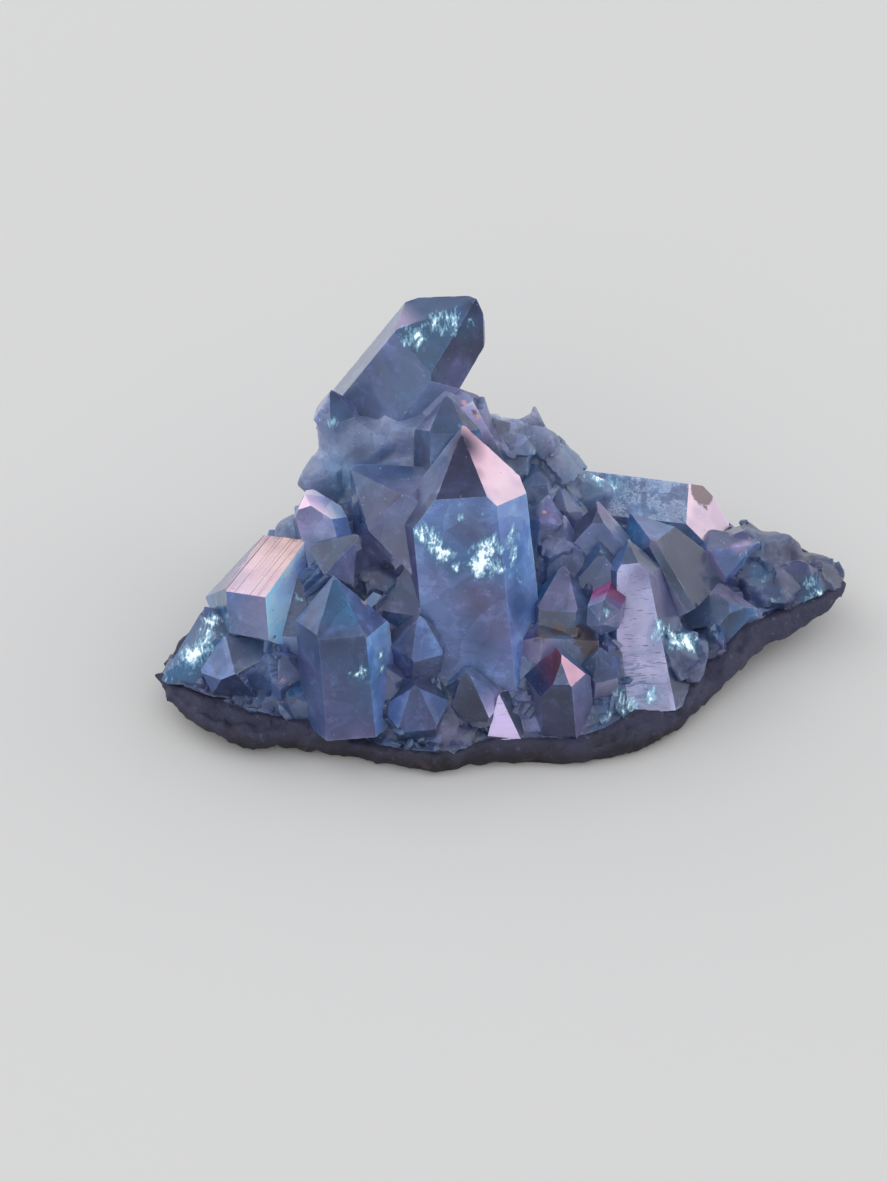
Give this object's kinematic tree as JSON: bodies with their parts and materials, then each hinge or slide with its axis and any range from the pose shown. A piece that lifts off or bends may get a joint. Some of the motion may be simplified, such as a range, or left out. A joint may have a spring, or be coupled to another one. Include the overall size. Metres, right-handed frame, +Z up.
{
  "type": "quartz crystal cluster",
  "caption": "Cluster of aura-coated quartz points with blue, violet and pink sheen on a thin dark matrix rind, about 60 mm long.",
  "frame": {"origin": "a point on the flat underside that the specimen rests on, near its middle", "axes": "+Z up, away from the surface it rests on; +X along its long side towards the thin right end; -Y towards the front"},
  "size_m": [0.0602, 0.0327, 0.0286],
  "materials": {
    "coated_quartz": "clear to milky quartz with a thin blue, violet and pink metal coating",
    "matrix_rock": "rough broken rock"
  },
  "bodies": {
    "root": {"quartz_crystals": "coated_quartz", "matrix": "matrix_rock"}
  },
  "joints": []
}
